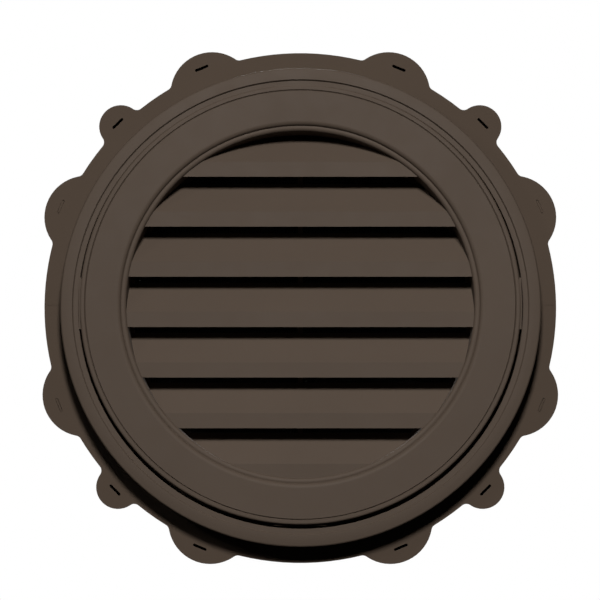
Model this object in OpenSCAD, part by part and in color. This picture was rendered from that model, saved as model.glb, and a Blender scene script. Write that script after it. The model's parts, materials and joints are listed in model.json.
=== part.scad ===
// Round gable vent with a trim ring that clips round its casing.
// Drawn as seen from the front: x right, y up, z out of the wall, wall plane at z = 0.
// Each node is then turned so that the front faces -Y and up is +Z.

/* [Nailing flange] */
// Width of the round part of the flange outside the collar
flange_w = 44.5; // [36:0.5:50]
// Thickness of the flange
flange_t = 2.5; // [2:0.1:4]
// Radius of a wide tab
wide_tab_r = 49; // [44:0.5:54]
// How far the centre of a wide tab lies inside the flange edge
wide_tab_inset = 27; // [22:0.5:30]
// Radius of a narrow tab
narrow_tab_r = 25.5; // [22:0.5:29]
// Angle between neighbouring tabs
tab_step = 22.5; // [21:0.5:23]
// Radius of the hollow corner where a tab meets the flange edge
tab_fillet = 8; // [4:0.5:10]
// How far the hollow corner cuts into the tab and the flange edge, so that the arcs cross cleanly
tab_bite = 0.06; // [0.04:0.01:0.1]
// Length of a nail slot
slot_len = 17; // [12:0.5:22]
// Width of a nail slot
slot_w = 3.2; // [2.6:0.1:4.5]
// How far the nail slots lie outside the flange edge
slot_out = 5; // [2:0.5:8]
// Width of the score round the knock-outs that take the place of the slots beside the level marks
score_w = 0.7; // [0.5:0.1:1]
// Depth of that score
score_d = 1.3; // [0.8:0.1:1.6]
// Width of the level mark scored across the flange at each side
mark_w = 0.8; // [0.5:0.1:1.5]
// Depth of the level mark
mark_d = 0.4; // [0.2:0.1:0.8]

/* [Casing] */
// Wall thickness of the mouldings
wall = 2.5; // [2:0.1:3]
// Outer radius of the collar that the ring goes round
collar_r = 255.5; // [220:0.5:300]
// Width of the casing from the collar to the clear opening
casing_w = 53.5; // [48:0.5:62]
// Width of the rim bead round the face
rim_w = 6; // [5:0.5:8]
// Rounding of the rim bead at its outer edge
rim_round = 2.5; // [1.5:0.1:3]
// Width of the quirk between rim bead and face
quirk_w = 1.8; // [1.2:0.1:2.4]
// Depth of the quirk
quirk_d = 1.5; // [0.8:0.1:1.8]
// Rounding of the face where it falls to the inner bead
nose_r = 6; // [5:0.5:7]
// Radius of the inner bead
bead_r = 4; // [3.5:0.1:4.5]
// How far the top of the inner bead lies below the face
bead_drop = 2.4; // [2:0.1:2.8]
// How far the inner bead and the rounded face run into each other
crease_bite = 2.2; // [1.8:0.1:2.6]
// How far the throat narrows from the inner bead to the wall plane
throat_taper = 0.8; // [0.4:0.1:2]
// Length of the spigot behind the wall plane
spigot_len = 10; // [8:0.5:14]
// Width of the rear land, inside the spigot, that carries the screen
land_w = 4; // [3.5:0.5:6]
// Thickness of the rear land
land_t = 2; // [1.5:0.1:2.5]
// Number of stiffening ribs behind the face
gusset_count = 16; // [8:4:16]
// Thickness of a stiffening rib
gusset_t = 2; // [1.5:0.1:3]

/* [Louvre] */
// Height from one slat to the next; as many slats as fill the opening
slat_pitch = 58.6; // [50:0.2:66]
// Clear height between the top of a slat and the lower edge of the next
slat_gap = 4.6; // [3.6:0.2:8]
// Height of the upright lip along the lower edge of a slat
slat_lip = 17.5; // [14:0.5:20]
// Depth of the slat from its lip to its top edge
slat_depth = 28.5; // [24:0.5:32]
// Thickness of a slat
slat_t = 2.5; // [2:0.1:3]
// How far the lips lie behind the casing face
slat_set = 8; // [7:0.5:10]
// Height of the louvre's middle above the middle of the vent
slat_lift = 2; // [0:0.5:3]
// Thickness of the centre rib behind the slats
centre_rib_t = 6; // [3:0.5:8]
// How far the centre rib lies behind the top edges of the slats
centre_rib_set = 0.5; // [0.2:0.1:1]

/* [Trim ring] */
// Width of the trim ring
ring_w = 20.5; // [18:0.1:24]
// Height of the ring from its rear edge to its flat band
ring_h = 11; // [9:0.5:14]
// Clear height for the siding between flange and ring
siding_pocket = 19; // [15:0.5:23]
// How far the ring's flat band lies below the casing face
band_drop = 3.5; // [3:0.1:5]
// How far the inner strip lies below the band
strip_drop = 2.5; // [1.5:0.1:3]
// Width of the inner strip
strip_w = 5.2; // [4.4:0.1:6]
// Width of the slope between the strip and the band
step_w = 1.3; // [0.8:0.1:2]
// How far the band falls toward the outer edge
band_crown = 1; // [0.5:0.1:1.5]
// Rounding of the outer edge
ring_round = 3; // [2:0.1:3.5]
// Play of the ring round the collar when the two are centred
ring_gap = 3; // [2:0.1:3.2]
// Clearance left between the ring and the top of the collar, where the ring hangs
ring_rest = 0.3; // [0.2:0.05:0.5]

/* [Snap lugs] */
// Length of a snap lug along the collar
lug_len = 60; // [40:1:70]
// How far a lug reaches over the ring when the two are centred
lug_reach = 0.3; // [0.2:0.1:1]
// How far the top of a lug lies below the rim bead
lug_drop = 4.6; // [4:0.1:5]
// How far the lug runs back into the rim bead
lug_back = 0.8; // [0.5:0.1:1.2]
// Height of the blunt edge of a lug
lug_edge = 0.8; // [0.6:0.1:1]
// How far the ledge reaches behind the ring when the two are centred
ledge_reach = 3.2; // [2.8:0.1:3.8]
// Thickness of the ledge behind the ring
ledge_t = 3; // [2:0.1:4]
// Clearance between the ring and the lugs and ledges
snap_gap = 0.3; // [0.2:0.05:0.5]

/* [Insect screen] */
// Thickness of the screen
screen_t = 0.8; // [0.6:0.1:1.2]
// How far the screen's edge lies inside the spigot's edge
screen_inset = 0.8; // [0.5:0.1:1.2]
// Pitch of the openings that stand for the mesh
mesh_pitch = 29; // [28:0.5:34]
// Width of the bars between the openings
mesh_bar = 3; // [2:0.5:5]
// Number of heat stakes
stake_count = 12; // [8:4:16]
// Radius of a heat stake
stake_r = 1.4; // [1.1:0.1:1.5]
// Radius of the flattened head of a heat stake
stake_head_r = 2.8; // [2.4:0.1:3]
// Thickness of the flattened head
stake_head_t = 0.9; // [0.6:0.1:1.2]
// Clearance of the stakes in the screen
stake_gap = 0.2; // [0.1:0.05:0.3]
// Clearance between the screen and the stake heads
head_gap = 0.1; // [0.05:0.05:0.2]

/* [Hidden] */
$fn = 180;
eps = 0.5;
ARC = 8;
flange_r = collar_r + flange_w;
wide_tab_c = flange_r - wide_tab_inset;
slot_r = flange_r + slot_out;
ring_rear_z = flange_t + siding_pocket;
band_z = ring_rear_z + ring_h;
strip_z = band_z - strip_drop;
face_z = band_z + band_drop;
quirk_r = collar_r - rim_w;
throat_r = collar_r - casing_w;
throat_back_r = throat_r - throat_taper;
spigot_r = throat_back_r + wall;
land_r = throat_back_r - land_w;
bead_c = [throat_r + bead_r, face_z - bead_drop - bead_r];
nose_c = [throat_r + 2 * bead_r + nose_r - crease_bite, face_z - nose_r];
crease_d = norm(nose_c - bead_c);
crease_a = (crease_d * crease_d + nose_r * nose_r - bead_r * bead_r) / (2 * crease_d);
crease_h = sqrt(nose_r * nose_r - crease_a * crease_a);
crease_u = (bead_c - nose_c) / crease_d;
crease = nose_c + crease_a * crease_u + crease_h * [crease_u[1], -crease_u[0]];
under_z = crease[1] - 1.6 * wall;
lip_z = face_z - slat_set;
slat_h = slat_pitch - slat_gap;
slat_slope = atan2(slat_h - slat_lip, slat_depth);
slat_count = ceil(2 * throat_r / slat_pitch);
slat_low = slat_lift - slat_count / 2 * slat_pitch;
ring_in_r = collar_r + ring_gap;
ring_hang = ring_gap - ring_rest;
ring_r = ring_in_r + ring_w;
step_r = ring_in_r + strip_w;
lug_z = strip_z + snap_gap;
lug_top_z = face_z - lug_drop;
ledge_z = ring_rear_z - snap_gap;
screen_z = -spigot_len;
screen_r = spigot_r - screen_inset;
stake_c = (land_r + spigot_r) / 2;
clear_r = land_r - stake_head_r;

// Radius of the throat's inner face at height z
function throat_at(z) = throat_back_r + (throat_r - throat_back_r) * max(0, z) / bead_c[1];

// Points along an arc from angle a0 to angle a1
function arc(c, r, a0, a1) =
    [for (i = [0 : ARC]) c + r * [cos(a0 + (a1 - a0) * i / ARC), sin(a0 + (a1 - a0) * i / ARC)]];

function angle_of(v) = atan2(v[1], v[0]);

// Centre of the hollow corner that touches the flange edge and a tab of radius r at distance c
function fillet_x(c, r) =
    ((flange_r + tab_fillet) * (flange_r + tab_fillet) + c * c
    - (r + tab_fillet) * (r + tab_fillet)) / (2 * c);
function fillet_y(c, r) =
    sqrt((flange_r + tab_fillet) * (flange_r + tab_fillet) - fillet_x(c, r) * fillet_x(c, r));

module upright() {
    rotate([90, 0, 0]) children();
}

// Section through flange, collar, face, beads, throat and spigot
module casing_section() {
    collar_in_r = collar_r - wall;
    rim_c = [collar_r - rim_round, face_z - rim_round];
    polygon(concat(
        [[collar_in_r, 0], [flange_r, 0], [flange_r, flange_t], [collar_r, flange_t]],
        arc(rim_c, rim_round, 0, 90),
        [[quirk_r + quirk_w / 2, face_z], [quirk_r, face_z - quirk_d], [quirk_r - quirk_w / 2, face_z]],
        arc(nose_c, nose_r, 90, angle_of(crease - nose_c)),
        arc(bead_c, bead_r, angle_of(crease - bead_c), 180),
        [
            [throat_back_r, 0],
            [throat_back_r, land_t - spigot_len],
            [land_r, land_t - spigot_len],
            [land_r, -spigot_len],
            [spigot_r, -spigot_len],
            [spigot_r, 0],
            [throat_at(under_z) + wall, under_z],
            [nose_c[0] - nose_r + wall, under_z]
        ],
        arc(nose_c, nose_r - wall, 180, 90),
        [[collar_in_r, face_z - wall]]
    ));
}

// One tab with the hollow corners at its foot
module tab(c, r) {
    fx = fillet_x(c, r);
    fy = fillet_y(c, r);
    difference() {
        union() {
            translate([c, 0, 0]) cylinder(r = r, h = flange_t);
            for (s = [-1, 1])
                linear_extrude(flange_t) polygon([[0, 0], [c, 0], [fx, s * fy]]);
        }
        for (s = [-1, 1])
            translate([fx, s * fy, -eps]) cylinder(r = tab_fillet + tab_bite, h = flange_t + 2 * eps);
        translate([0, 0, -eps]) cylinder(r = collar_r - wall / 2, h = flange_t + 2 * eps);
    }
}

// Slot shape of half width w at height z, long way round the flange
module slot_space(w, z) {
    half = (slot_len - slot_w) / 2;
    translate([slot_r, 0, z]) {
        for (s = [-1, 1])
            translate([0, s * half, 0]) cylinder(r = w, h = flange_t + 2 * eps);
        translate([-w, -half, 0]) cube([2 * w, 2 * half, flange_t + 2 * eps]);
    }
}

module nail_slot() {
    slot_space(slot_w / 2, -eps);
}

// Score round a slot that is left closed
module knock_out() {
    difference() {
        slot_space(slot_w / 2, flange_t - score_d);
        slot_space(slot_w / 2 - score_w, flange_t - score_d - eps);
    }
}

// Tab places: a wide, a narrow and a wide tab in each quarter
module at_upper_and_lower_tabs() {
    for (q = [90, 270], s = [-1, 1])
        rotate(q + s * (45 - tab_step)) children();
}

module at_side_tabs() {
    for (q = [0, 180], s = [-1, 1])
        rotate(q + s * (45 - tab_step)) children();
}

module at_wide_tabs() {
    at_upper_and_lower_tabs() children();
    at_side_tabs() children();
}

module at_narrow_tabs() {
    for (q = [0 : 90 : 270])
        rotate(q + 45) children();
}

module level_mark() {
    translate([collar_r + eps, -mark_w / 2, flange_t - mark_d]) cube([flange_r, mark_w, flange_t]);
}

// Lug and ledge that hold the ring at one place on the collar
module snap_lug() {
    intersection() {
        rotate_extrude() {
            polygon([
                [collar_r - wall / 2, lug_z],
                [collar_r + ring_gap + lug_reach, lug_z],
                [collar_r + ring_gap + lug_reach, lug_z + lug_edge],
                [collar_r, lug_top_z],
                [collar_r - wall / 2, lug_top_z]
            ]);
            polygon([
                [collar_r - wall / 2, ledge_z - ledge_t - wall],
                [collar_r + ring_gap + ledge_reach, ledge_z - ledge_t],
                [collar_r + ring_gap + ledge_reach, ledge_z],
                [collar_r - wall / 2, ledge_z]
            ]);
        }
        translate([0, -lug_len / 2, 0]) cube([2 * flange_r, lug_len, face_z]);
    }
}

// Step in the rim bead above a lug
module lug_step() {
    intersection() {
        rotate_extrude()
            translate([collar_r - lug_back, lug_top_z]) square([lug_back + eps, face_z]);
        translate([0, -lug_len / 2, 0]) cube([2 * flange_r, lug_len, 2 * face_z]);
    }
}

// Side view of a slat: upright lip below, sloping blade above
module slat_section() {
    back_y = slat_lip - slat_t * tan((90 - slat_slope) / 2);
    edge = slat_t * [-cos(slat_slope), -sin(slat_slope)];
    polygon([
        [0, lip_z],
        [slat_lip, lip_z],
        [slat_h, lip_z - slat_depth],
        [slat_h + edge[0], lip_z - slat_depth + edge[1]],
        [back_y, lip_z - slat_t],
        [0, lip_z - slat_t]
    ]);
}

// Space inside the throat, out to the middle of its wall
module throat_space() {
    rotate_extrude()
        polygon([
            [0, -spigot_len],
            [throat_back_r + wall / 2, -spigot_len],
            [throat_back_r + wall / 2, 0],
            [throat_r + wall / 2, bead_c[1]],
            [0, bead_c[1]]
        ]);
}

module slats() {
    intersection() {
        for (i = [0 : slat_count - 1])
            translate([-throat_r - wall, slat_low + i * slat_pitch, 0])
                rotate([90, 0, 90]) linear_extrude(2 * (throat_r + wall)) slat_section();
        throat_space();
    }
}

// Upright rib that ties the top edges of the slats together from behind
module centre_rib() {
    intersection() {
        translate([-centre_rib_t / 2, -throat_r, -spigot_len])
            cube([centre_rib_t, 2 * throat_r, spigot_len + lip_z - slat_depth - centre_rib_set]);
        throat_space();
    }
}

// Stiffening rib between throat and collar, behind the face
module gusset() {
    mid = wall / 2;
    translate([0, gusset_t / 2, 0]) rotate([90, 0, 0]) linear_extrude(gusset_t)
        polygon([
            [throat_at(flange_t) + mid, flange_t],
            [throat_at(under_z) + mid, under_z + mid],
            [nose_c[0] - nose_r + mid, under_z + mid],
            nose_c + (nose_r - mid) * [-cos(45), sin(45)],
            [nose_c[0], face_z - mid],
            [collar_r - mid, face_z - mid],
            [collar_r - mid, flange_t]
        ]);
}

// Heat stake with its flattened head, behind the screen
module stake() {
    translate([stake_c, 0, screen_z]) {
        translate([0, 0, -screen_t - head_gap - stake_head_t / 2])
            cylinder(r = stake_r, h = screen_t + head_gap + stake_head_t / 2 + land_t / 2);
        translate([0, 0, -screen_t - head_gap - stake_head_t]) cylinder(r = stake_head_r, h = stake_head_t);
    }
}

module at_stakes() {
    for (i = [0 : stake_count - 1])
        rotate((i + 0.5) * 360 / stake_count) children();
}

module louvre_base() {
    color("#544a42") upright() difference() {
        union() {
            rotate_extrude() casing_section();
            at_wide_tabs() tab(wide_tab_c, wide_tab_r);
            at_narrow_tabs() tab(flange_r, narrow_tab_r);
            for (q = [0 : 90 : 270]) rotate(q) snap_lug();
            for (i = [0 : gusset_count - 1]) rotate((i + 0.5) * 360 / gusset_count) gusset();
            slats();
            centre_rib();
            at_stakes() stake();
        }
        at_upper_and_lower_tabs() nail_slot();
        at_narrow_tabs() nail_slot();
        at_side_tabs() knock_out();
        for (q = [0, 180]) rotate(q) level_mark();
        for (q = [0 : 90 : 270]) rotate(q) lug_step();
    }
}

// Section through the trim ring: skirt, crowned band, sunk strip and inner wall
module ring_section() {
    round_c = [ring_r - ring_round, band_z - band_crown - ring_round];
    span = round_c[0] - step_r - step_w;
    polygon(concat(
        [[ring_r - wall, ring_rear_z], [ring_r, ring_rear_z]],
        arc(round_c, ring_round, 0, 90),
        [for (i = [1 : ARC]) [round_c[0] - span * i / ARC, band_z - band_crown * pow(1 - i / ARC, 2)]],
        [
            [step_r, strip_z],
            [ring_in_r + eps, strip_z],
            [ring_in_r, strip_z - eps],
            [ring_in_r, ring_rear_z],
            [ring_in_r + wall, ring_rear_z],
            [ring_in_r + wall, strip_z - wall],
            [step_r, strip_z - wall],
            [step_r + step_w + wall / 2, band_z - wall],
            [round_c[0], band_z - band_crown - wall],
            [ring_r - wall, band_z - band_crown - ring_round]
        ]
    ));
}

module trim_ring() {
    color("#564b43") upright() translate([0, -ring_hang, 0]) rotate_extrude() ring_section();
}

module insect_screen() {
    steps = floor(clear_r / mesh_pitch);
    hole = mesh_pitch - mesh_bar;
    color("#2c2c2c") upright() translate([0, 0, screen_z - screen_t]) difference() {
        cylinder(r = screen_r, h = screen_t);
        for (i = [-steps : steps], j = [-steps : steps])
            if (norm([(abs(i) + 0.5) * mesh_pitch, (abs(j) + 0.5) * mesh_pitch]) < clear_r)
                translate([i * mesh_pitch - hole / 2, j * mesh_pitch - hole / 2, -eps])
                    cube([hole, hole, screen_t + 2 * eps]);
        at_stakes() translate([stake_c, 0, -eps]) cylinder(r = stake_r + stake_gap, h = screen_t + 2 * eps);
    }
}

louvre_base();
trim_ring();
insect_screen();
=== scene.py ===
# %% [markdown]
# A round gable vent lets a loft breathe. It has three pieces: a moulded base with a nailing flange,
# a raised casing and fixed slats; a trim ring that clips round the casing over the cut siding; and an
# insect screen behind the slats. The imported model already holds every shape at its true size, so it is
# loaded first and the looks are built around it. Its box is kept and its size is printed.

# %% Load the imported model
import json
import math

import bpy
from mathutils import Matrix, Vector

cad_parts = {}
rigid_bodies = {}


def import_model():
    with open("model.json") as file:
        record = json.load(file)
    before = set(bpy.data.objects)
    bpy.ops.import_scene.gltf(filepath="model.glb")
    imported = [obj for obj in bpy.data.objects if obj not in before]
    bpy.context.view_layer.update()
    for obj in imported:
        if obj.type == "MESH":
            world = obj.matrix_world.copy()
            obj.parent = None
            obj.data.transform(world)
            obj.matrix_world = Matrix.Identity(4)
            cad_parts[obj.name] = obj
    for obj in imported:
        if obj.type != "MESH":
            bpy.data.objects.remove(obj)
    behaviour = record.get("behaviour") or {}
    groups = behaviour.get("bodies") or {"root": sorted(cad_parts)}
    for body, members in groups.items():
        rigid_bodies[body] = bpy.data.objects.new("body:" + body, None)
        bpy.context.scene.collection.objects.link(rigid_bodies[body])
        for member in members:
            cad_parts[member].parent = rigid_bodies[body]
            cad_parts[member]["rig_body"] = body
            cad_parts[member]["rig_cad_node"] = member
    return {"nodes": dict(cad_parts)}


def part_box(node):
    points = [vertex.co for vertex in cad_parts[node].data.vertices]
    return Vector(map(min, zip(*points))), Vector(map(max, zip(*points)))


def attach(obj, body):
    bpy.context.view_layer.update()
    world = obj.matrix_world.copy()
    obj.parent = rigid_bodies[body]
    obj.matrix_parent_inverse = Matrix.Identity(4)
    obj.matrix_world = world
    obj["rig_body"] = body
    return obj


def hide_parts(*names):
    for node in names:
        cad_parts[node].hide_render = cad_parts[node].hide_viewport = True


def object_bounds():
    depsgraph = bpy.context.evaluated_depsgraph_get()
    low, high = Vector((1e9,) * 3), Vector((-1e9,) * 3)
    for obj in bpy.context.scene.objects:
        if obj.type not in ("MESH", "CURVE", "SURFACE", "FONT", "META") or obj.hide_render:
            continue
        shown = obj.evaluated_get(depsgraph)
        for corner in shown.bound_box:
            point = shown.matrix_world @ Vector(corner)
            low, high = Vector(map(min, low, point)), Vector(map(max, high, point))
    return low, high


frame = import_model()
cad_low, cad_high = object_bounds()
print("nodes:", sorted(frame["nodes"]))
print("size in mm:", [round(1000 * (b - a), 1) for a, b in zip(cad_low, cad_high)])

# %% [markdown]
# Base and ring are the same dark brown plastic, moulded in a tool with a fine satin grain. One flat
# colour would look like a drawing, so three noises share the work. A slow one drifts the colour a little,
# as pigment does in a large moulding. A middle one varies the roughness, where the melt flowed and cooled
# unevenly. A very fine one lifts the surface by a few hundredths of a millimetre: that is the grain.
# The flange will be covered by siding, so its tool is left rough: in the photograph it lacks the pale sheen
# of the casing. Everything nearer the wall than 4 mm is flange, so the depth alone tells the two apart.
# All of this reads Object coordinates, so the pattern stays put on the piece.

# %% Colour, sheen and grain of the plastic
brown = (0.073, 0.053, 0.039)
# The flange's colour is made 6% darker than the casing's.
flange_shade = 0.94
casing_gloss, flange_gloss = 0.15, 0.05
flange_extra_rough = 0.2
casing_y, flange_y = -0.0045, -0.0035
drift_scale, flow_scale, grain_scale = 7, 45, 1100
grain_strength, grain_height = 0.35, 0.00006
noise_low, noise_high = 0.3, 0.7
print("grain lifts the surface by up to", grain_height * 1e6, "thousandths of a millimetre")


# %% Moulded plastic
def moulded_plastic(name, colour, drift, rough_low, rough_high):
    material = bpy.data.materials.new(name)
    material.use_nodes = True
    nodes, links = material.node_tree.nodes, material.node_tree.links
    shader = nodes["Principled BSDF"]
    place = nodes.new("ShaderNodeTexCoord")
    depth = nodes.new("ShaderNodeSeparateXYZ")
    links.new(place.outputs["Object"], depth.inputs["Vector"])

    def by_depth(on_casing, on_flange):
        node = nodes.new("ShaderNodeMapRange")
        node.inputs["From Min"].default_value = casing_y
        node.inputs["From Max"].default_value = flange_y
        node.inputs["To Min"].default_value = on_casing
        node.inputs["To Max"].default_value = on_flange
        links.new(depth.outputs["Y"], node.inputs["Value"])
        return node.outputs["Result"]

    links.new(by_depth(casing_gloss, flange_gloss), shader.inputs["Specular IOR Level"])

    def noise(scale, detail):
        node = nodes.new("ShaderNodeTexNoise")
        node.inputs["Scale"].default_value = scale
        node.inputs["Detail"].default_value = detail
        links.new(place.outputs["Object"], node.inputs["Vector"])
        return node.outputs["Fac"]

    tint = nodes.new("ShaderNodeValToRGB")
    tint.color_ramp.elements[0].position = noise_low
    tint.color_ramp.elements[1].position = noise_high
    tint.color_ramp.elements[0].color = [c * (1 - drift) for c in colour] + [1]
    tint.color_ramp.elements[1].color = [c * (1 + drift) for c in colour] + [1]
    links.new(noise(drift_scale, 4), tint.inputs["Fac"])
    shade = nodes.new("ShaderNodeVectorMath")
    shade.operation = "SCALE"
    links.new(tint.outputs["Color"], shade.inputs[0])
    links.new(by_depth(1.0, flange_shade), shade.inputs["Scale"])
    links.new(shade.outputs["Vector"], shader.inputs["Base Color"])

    sheen = nodes.new("ShaderNodeMapRange")
    sheen.inputs["From Min"].default_value = noise_low
    sheen.inputs["From Max"].default_value = noise_high
    sheen.inputs["To Min"].default_value = rough_low
    sheen.inputs["To Max"].default_value = rough_high
    links.new(noise(flow_scale, 3), sheen.inputs["Value"])
    rough = nodes.new("ShaderNodeMath")
    rough.operation = "ADD"
    rough.use_clamp = True
    links.new(sheen.outputs["Result"], rough.inputs[0])
    links.new(by_depth(0.0, flange_extra_rough), rough.inputs[1])
    links.new(rough.outputs["Value"], shader.inputs["Roughness"])

    grain = nodes.new("ShaderNodeBump")
    grain.inputs["Strength"].default_value = grain_strength
    grain.inputs["Distance"].default_value = grain_height
    links.new(noise(grain_scale, 2), grain.inputs["Height"])
    links.new(grain.outputs["Normal"], shader.inputs["Normal"])
    return material


base_plastic = moulded_plastic("base_plastic", brown, drift=0.030, rough_low=0.64, rough_high=0.72)
ring_plastic = moulded_plastic("ring_plastic", brown, drift=0.025, rough_low=0.63, rough_high=0.71)
print("materials:", base_plastic.name, ring_plastic.name)

# %% [markdown]
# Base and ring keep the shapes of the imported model, apart from a millimetre or two that the photograph
# shows. The inner bead lies deeper there, so the crease beside it is steep on the side of the face and dark
# at the top. The lugs end short of the ring, and the ring's inner lip is wider, so the seam is narrow and
# black. The ring is loose and hangs a little off the middle. Each of these forms is a set of circles round
# the vent's axis, so a vertex is known by its radius and its depth. The two functions below move such
# vertices, and the next step calls them on copies of the nodes.

# %% Where the finer forms lie, in metres
casing_front_y = -0.0295
bead_inner_r, crease_inner_r, crease_outer_r = 0.20195, 0.2082, 0.2086
bead_sink, bead_back_y = 0.0018, -0.0282
crease_sink, crease_shrink = 0.00145, 0.99746
lug_inner_r, lug_outer_r = 0.2585, 0.2595
lug_front_y, lug_back_y = -0.0315, -0.0300
lug_end_r = 0.2571
lip_outer_r, lip_growth = 0.2620, 0.00065
ring_shift = Vector((0.0004, 0, 0.0005))
print("bead", bead_sink * 1000, "mm deeper, lip", lip_growth * 1000, "mm wider")


# %% Moving the vertices
def finer_casing(mesh):
    for vertex in mesh.vertices:
        r, y = math.hypot(vertex.co.x, vertex.co.z), vertex.co.y
        if bead_inner_r < r < crease_inner_r and y < casing_front_y:
            vertex.co.y = min(y + bead_sink, bead_back_y)
        elif crease_inner_r < r < crease_outer_r and y < casing_front_y:
            vertex.co.x *= crease_shrink
            vertex.co.z *= crease_shrink
            vertex.co.y += crease_sink
        elif lug_inner_r < r < lug_outer_r and lug_front_y < y < lug_back_y:
            vertex.co.x *= lug_end_r / r
            vertex.co.z *= lug_end_r / r


def finer_ring(mesh):
    low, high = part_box("trim_ring")
    middle = (low.z + high.z) / 2
    for vertex in mesh.vertices:
        r = math.hypot(vertex.co.x, vertex.co.z - middle)
        if r < lip_outer_r:
            vertex.co.x *= 1 - lip_growth / r
            vertex.co.z -= lip_growth / r * (vertex.co.z - middle)
        vertex.co += ring_shift


# %% [markdown]
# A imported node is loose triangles, so every facet of a rounded bead would catch the light by itself. A node
# is never changed in place. A copy of it is merged into one skin and made finer. Edges softer than the given
# angle are then shaded smooth, and weighted normals keep the flat faces flat.

# %% Smooth copies of the moulded pieces
soft_edge = 28
merge_distance = 1e-6


def smooth_copy(node, name, material, finer):
    bpy.ops.object.select_all(action="DESELECT")
    source = frame["nodes"][node]
    source.select_set(True)
    bpy.context.view_layer.objects.active = source
    bpy.ops.object.duplicate(linked=False)
    piece = bpy.context.view_layer.objects.active
    piece.name = piece.data.name = name
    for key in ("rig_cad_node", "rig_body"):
        del piece[key]
    bpy.ops.object.mode_set(mode="EDIT")
    bpy.ops.mesh.select_all(action="SELECT")
    bpy.ops.mesh.remove_doubles(threshold=merge_distance)
    bpy.ops.mesh.customdata_custom_splitnormals_clear()
    bpy.ops.object.mode_set(mode="OBJECT")
    finer(piece.data)
    bpy.ops.object.shade_smooth_by_angle(angle=math.radians(soft_edge))
    flat = piece.modifiers.new("flat_faces", "WEIGHTED_NORMAL")
    flat.keep_sharp = True
    flat.weight = 80
    bpy.ops.object.modifier_apply(modifier=flat.name)
    piece.data.materials.clear()
    piece.data.materials.append(material)
    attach(piece, "root")
    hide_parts(node)
    print(name, "has", len(piece.data.vertices), "vertices and", len(piece.data.polygons), "faces")
    return piece


vent_body = smooth_copy("louvre_base", "vent_body", base_plastic, finer_casing)
snap_ring = smooth_copy("trim_ring", "snap_ring", ring_plastic, finer_ring)

# %% [markdown]
# The screen is woven from coated glass yarn, so fine that the CAD model only has a coarse grid for it.
# Here every yarn is drawn: one six-sided yarn is added, an Array repeats it across the opening, and its
# ends are then moved to the round edge. The yarns that run across are made the same way and lie against
# the upright ones. Straight yarns are enough, because the weave's rise and fall is a fraction of a pixel.

# %% Yarn of the insect screen
screen_low, screen_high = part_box("insect_screen")
screen_r = (screen_high.x - screen_low.x) / 2
yarn_pitch = 0.0018
yarn_r = 0.00019
yarn_soft_edge = 70
screen_y = (screen_low.y + screen_high.y) / 2


def yarn_layer(name, upright, y):
    count = int(2 * screen_r / yarn_pitch) - 1
    first = -(count - 1) / 2 * yarn_pitch
    bpy.ops.object.select_all(action="DESELECT")
    bpy.ops.mesh.primitive_cylinder_add(
        vertices=6,
        radius=yarn_r,
        depth=2 * screen_r,
        location=(first, y, 0) if upright else (0, y, first),
        rotation=(0, 0, 0) if upright else (0, math.pi / 2, 0),
    )
    layer = bpy.context.view_layer.objects.active
    layer.name = layer.data.name = name
    bpy.ops.object.transform_apply(location=True, rotation=True, scale=True)
    rows = layer.modifiers.new("rows", "ARRAY")
    rows.count = count
    rows.use_relative_offset = False
    rows.use_constant_offset = True
    rows.constant_offset_displace = (yarn_pitch, 0, 0) if upright else (0, 0, yarn_pitch)
    bpy.ops.object.modifier_apply(modifier=rows.name)
    across, along = (0, 2) if upright else (2, 0)
    for vertex in layer.data.vertices:
        reach = math.sqrt(max(0.0, screen_r**2 - vertex.co[across] ** 2))
        vertex.co[along] = math.copysign(reach, vertex.co[along])
    print(name, "has", count, "yarns")
    return layer


upright_yarn = yarn_layer("upright_yarn", True, screen_y - yarn_r)
level_yarn = yarn_layer("level_yarn", False, screen_y + yarn_r)

# %% [markdown]
# Yarn is dull and nearly black, with a slight shine from its coating. A noise along the yarn changes the
# roughness and the grey, because the coating is never even.

# %% Finish of the screen
coated_yarn = bpy.data.materials.new("coated_yarn")
coated_yarn.use_nodes = True
yarn_nodes, yarn_links = coated_yarn.node_tree.nodes, coated_yarn.node_tree.links
yarn_shader = yarn_nodes["Principled BSDF"]
yarn_shader.inputs["Specular IOR Level"].default_value = 0.04
yarn_place = yarn_nodes.new("ShaderNodeTexCoord")
yarn_noise = yarn_nodes.new("ShaderNodeTexNoise")
yarn_noise.inputs["Scale"].default_value = 220
yarn_noise.inputs["Detail"].default_value = 3
yarn_tint = yarn_nodes.new("ShaderNodeValToRGB")
yarn_tint.color_ramp.elements[0].color = (0.018, 0.018, 0.018, 1)
yarn_tint.color_ramp.elements[1].color = (0.045, 0.044, 0.042, 1)
yarn_rough = yarn_nodes.new("ShaderNodeMapRange")
yarn_rough.inputs["To Min"].default_value = 0.75
yarn_rough.inputs["To Max"].default_value = 0.95
yarn_bump = yarn_nodes.new("ShaderNodeBump")
yarn_bump.inputs["Strength"].default_value = 0.3
yarn_bump.inputs["Distance"].default_value = 0.00005
yarn_links.new(yarn_place.outputs["Object"], yarn_noise.inputs["Vector"])
yarn_links.new(yarn_noise.outputs["Fac"], yarn_tint.inputs["Fac"])
yarn_links.new(yarn_noise.outputs["Fac"], yarn_rough.inputs["Value"])
yarn_links.new(yarn_noise.outputs["Fac"], yarn_bump.inputs["Height"])
yarn_links.new(yarn_tint.outputs["Color"], yarn_shader.inputs["Base Color"])
yarn_links.new(yarn_rough.outputs["Result"], yarn_shader.inputs["Roughness"])
yarn_links.new(yarn_bump.outputs["Normal"], yarn_shader.inputs["Normal"])

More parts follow.
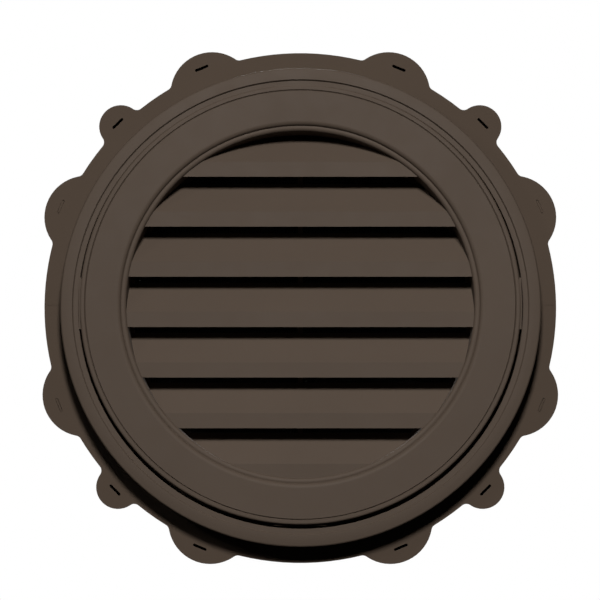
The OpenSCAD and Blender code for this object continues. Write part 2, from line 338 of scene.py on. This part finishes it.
bpy.ops.object.select_all(action="DESELECT")
upright_yarn.select_set(True)
level_yarn.select_set(True)
bpy.context.view_layer.objects.active = upright_yarn
bpy.ops.object.join()
screen_weave = bpy.context.view_layer.objects.active
screen_weave.name = screen_weave.data.name = "screen_weave"
bpy.ops.object.shade_smooth_by_angle(angle=math.radians(yarn_soft_edge))
screen_weave.data.materials.append(coated_yarn)
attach(screen_weave, "root")
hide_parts("insect_screen")
print("screen_weave has", len(screen_weave.data.polygons), "faces")

# %% [markdown]
# The vent hangs in the air, as on its wall, so the floor lies a little below it. The floor is pale and
# keeps a soft shadow near the vent. Further out it fades to plain white by its distance from the middle,
# so that no edge of the floor shows.

# %% Floor
floor_gap, floor_r = 0.16, 1.9
shadow_r, white_r = 0.35, 1.5
shadow_white, far_white = 0.35, 1.0
floor_z = cad_low.z - floor_gap
bpy.ops.object.select_all(action="DESELECT")
bpy.ops.mesh.primitive_circle_add(vertices=64, radius=floor_r, fill_type="NGON", location=(0, 0, floor_z))
floor = bpy.context.view_layer.objects.active
floor.name = "floor"
pale = bpy.data.materials.new("pale_floor")
pale.use_nodes = True
nodes, links = pale.node_tree.nodes, pale.node_tree.links
paint = nodes["Principled BSDF"]
paint.inputs["Base Color"].default_value = (0.85, 0.85, 0.85, 1)
paint.inputs["Roughness"].default_value = 0.9
white = nodes.new("ShaderNodeEmission")
white.inputs["Strength"].default_value = 1.0
spot = nodes.new("ShaderNodeTexCoord")
reach = nodes.new("ShaderNodeVectorMath")
reach.operation = "LENGTH"
fade = nodes.new("ShaderNodeMapRange")
fade.inputs["From Min"].default_value = shadow_r
fade.inputs["From Max"].default_value = white_r
fade.inputs["To Min"].default_value = shadow_white
fade.inputs["To Max"].default_value = far_white
blend = nodes.new("ShaderNodeMixShader")
links.new(spot.outputs["Object"], reach.inputs[0])
links.new(reach.outputs["Value"], fade.inputs["Value"])
path = nodes.new("ShaderNodeLightPath")
seen = nodes.new("ShaderNodeMath")
seen.operation = "MULTIPLY"
links.new(fade.outputs["Result"], seen.inputs[0])
links.new(path.outputs["Is Camera Ray"], seen.inputs[1])
links.new(seen.outputs["Value"], blend.inputs["Fac"])
links.new(paint.outputs["BSDF"], blend.inputs[1])
links.new(white.outputs["Emission"], blend.inputs[2])
links.new(blend.outputs["Shader"], nodes["Material Output"].inputs["Surface"])
floor.data.materials.append(pale)
floor.visible_diffuse = floor.visible_glossy = False
print("floor at", round(floor_z, 3), "m")

# %% [markdown]
# On a house, the dark loft lies behind the slots and the wall behind the nail slots, so the openings look
# black. In a white studio they would glow instead. Black cards just behind the openings are painted shade:
# they stand for that darkness. They face the front only: seen from behind, they aren't there, so the back
# can be looked at. They take no part in the lighting.

# %% Black cards of painted shade behind the openings
card_ink = bpy.data.materials.new("card_ink")
card_ink.use_nodes = True
nodes, links = card_ink.node_tree.nodes, card_ink.node_tree.links
nodes.remove(nodes["Principled BSDF"])
# Painted shade: plain black seen from the front, in place of the dark loft and wall behind the openings.
shade_black = nodes.new("ShaderNodeEmission")
shade_black.inputs["Color"].default_value = (0.0, 0.0, 0.0, 1)
clear = nodes.new("ShaderNodeBsdfTransparent")
side = nodes.new("ShaderNodeNewGeometry")
turn = nodes.new("ShaderNodeMixShader")
links.new(side.outputs["Backfacing"], turn.inputs["Fac"])
links.new(shade_black.outputs["Emission"], turn.inputs[1])
links.new(clear.outputs["BSDF"], turn.inputs[2])
links.new(turn.outputs["Shader"], nodes["Material Output"].inputs["Surface"])

slot_circle_r, slot_card_r = 0.305, 0.0115
slot_angles = (45, 67.5, 112.5, 135, 225, 247.5, 292.5, 315)
slot_card_gap, screen_card_gap, screen_card_inset = 0.0015, 0.0016, 0.001
cards = [(0.0, 0.0, screen_high.y + screen_card_gap, screen_r - screen_card_inset)]
for angle in slot_angles:
    a = math.radians(angle)
    cards.append((slot_circle_r * math.cos(a), slot_circle_r * math.sin(a), slot_card_gap, slot_card_r))
for number, (x, z, y, r) in enumerate(cards):
    bpy.ops.object.select_all(action="DESELECT")
    bpy.ops.mesh.primitive_circle_add(
        vertices=48, radius=r, fill_type="NGON", location=(x, y, z), rotation=(math.pi / 2, 0, 0)
    )
    card = bpy.context.view_layer.objects.active
    card.name = "card_%d" % number
    card.data.materials.append(card_ink)
    card.visible_diffuse = card.visible_glossy = card.visible_transmission = False
    card.visible_shadow = card.visible_volume_scatter = False
print(len(cards), "cards")

# %% [markdown]
# In the photograph one lamp does nearly all the work. It hangs in front, about thirty degrees up, and is
# a fifth as wide as it is far, which gives the shadows their soft edge. The shadow of the ring spreads
# outward on both sides, so the lamp is near; yet top and bottom are almost equally bright, so its light
# is made not to weaken with distance. A very weak lamp on the left lifts the shadow there, and one behind
# keeps the back readable. The world is white to the camera, and as light it is only a dim grey, so that
# the shadows in the slots stay deep.


# %% Lamps and world
def lamp(name, place, size, watts):
    data = bpy.data.lights.new(name, "AREA")
    data.shape = "DISK"
    data.size = size
    data.energy = watts
    data.use_nodes = True
    even = data.node_tree.nodes.new("ShaderNodeLightFalloff")
    even.inputs["Strength"].default_value = 1.0
    data.node_tree.links.new(even.outputs["Constant"], data.node_tree.nodes["Emission"].inputs["Strength"])
    obj = bpy.data.objects.new(name, data)
    bpy.context.scene.collection.objects.link(obj)
    obj.location = place
    obj.rotation_euler = (-Vector(place)).to_track_quat("-Z", "Y").to_euler()
    obj.visible_camera = False
    print(name, "lamp at", [round(v, 2) for v in place], watts, "W")


lamp("key", (0.03, -1.75, 0.93), size=0.38, watts=10.9)
lamp("left", (-1.7, -1.7, 0.95), size=0.3, watts=0.6)
lamp("back", (0, 2.2, 2.2), size=0.6, watts=9)

world = bpy.data.worlds.new("studio")
bpy.context.scene.world = world
world.use_nodes = True
nodes, links = world.node_tree.nodes, world.node_tree.links
air = nodes["Background"]
air.inputs["Color"].default_value = (1, 1, 1, 1)
air.inputs["Strength"].default_value = 0.012
backdrop = nodes.new("ShaderNodeBackground")
backdrop.inputs["Color"].default_value = (1, 1, 1, 1)
backdrop.inputs["Strength"].default_value = 1.0
path = nodes.new("ShaderNodeLightPath")
plain = nodes.new("ShaderNodeMath")
plain.operation = "MAXIMUM"
mix = nodes.new("ShaderNodeMixShader")
links.new(path.outputs["Is Camera Ray"], plain.inputs[0])
links.new(path.outputs["Is Transmission Ray"], plain.inputs[1])
links.new(plain.outputs["Value"], mix.inputs["Fac"])
links.new(air.outputs["Background"], mix.inputs[1])
links.new(backdrop.outputs["Background"], mix.inputs[2])
links.new(mix.outputs["Shader"], nodes["World Output"].inputs["Surface"])
bpy.context.scene.view_settings.view_transform = "Standard"

# %% [markdown]
# The camera stands nearly two and a half metres in front and about five degrees lower than the vent, as
# the nested rims show: the nearer a rim, the higher its middle. It is tilted up to look at the vent. The
# lens is shifted by a few pixels only, to put the vent where the photograph has it, so that the vent stays
# well inside the frame when the camera is moved for other views. The focal length is given in pixels of
# the 600-pixel frame: a flange of 300 mm in radius then comes out about 255 pixels in radius.

# %% Camera
frame_px = 600
focal_px = 2089.8
axis_px = (300.3, 303.1)
distance, height, tilt = 2.444, -0.2086, 4.946
camera_data = bpy.data.cameras.new("camera")
camera = bpy.data.objects.new("camera", camera_data)
bpy.context.scene.collection.objects.link(camera)
camera.location = (0, -distance, height)
camera.rotation_euler = (math.radians(90 + tilt), 0, 0)
camera_data.sensor_width = 36.0
camera_data.lens = camera_data.sensor_width * focal_px / frame_px
camera_data.shift_x = (frame_px / 2 - axis_px[0]) / frame_px
camera_data.shift_y = (axis_px[1] - frame_px / 2) / frame_px
bpy.context.scene.camera = camera
print("lens", round(camera_data.lens, 1), "mm, shift", round(camera_data.shift_y, 3))
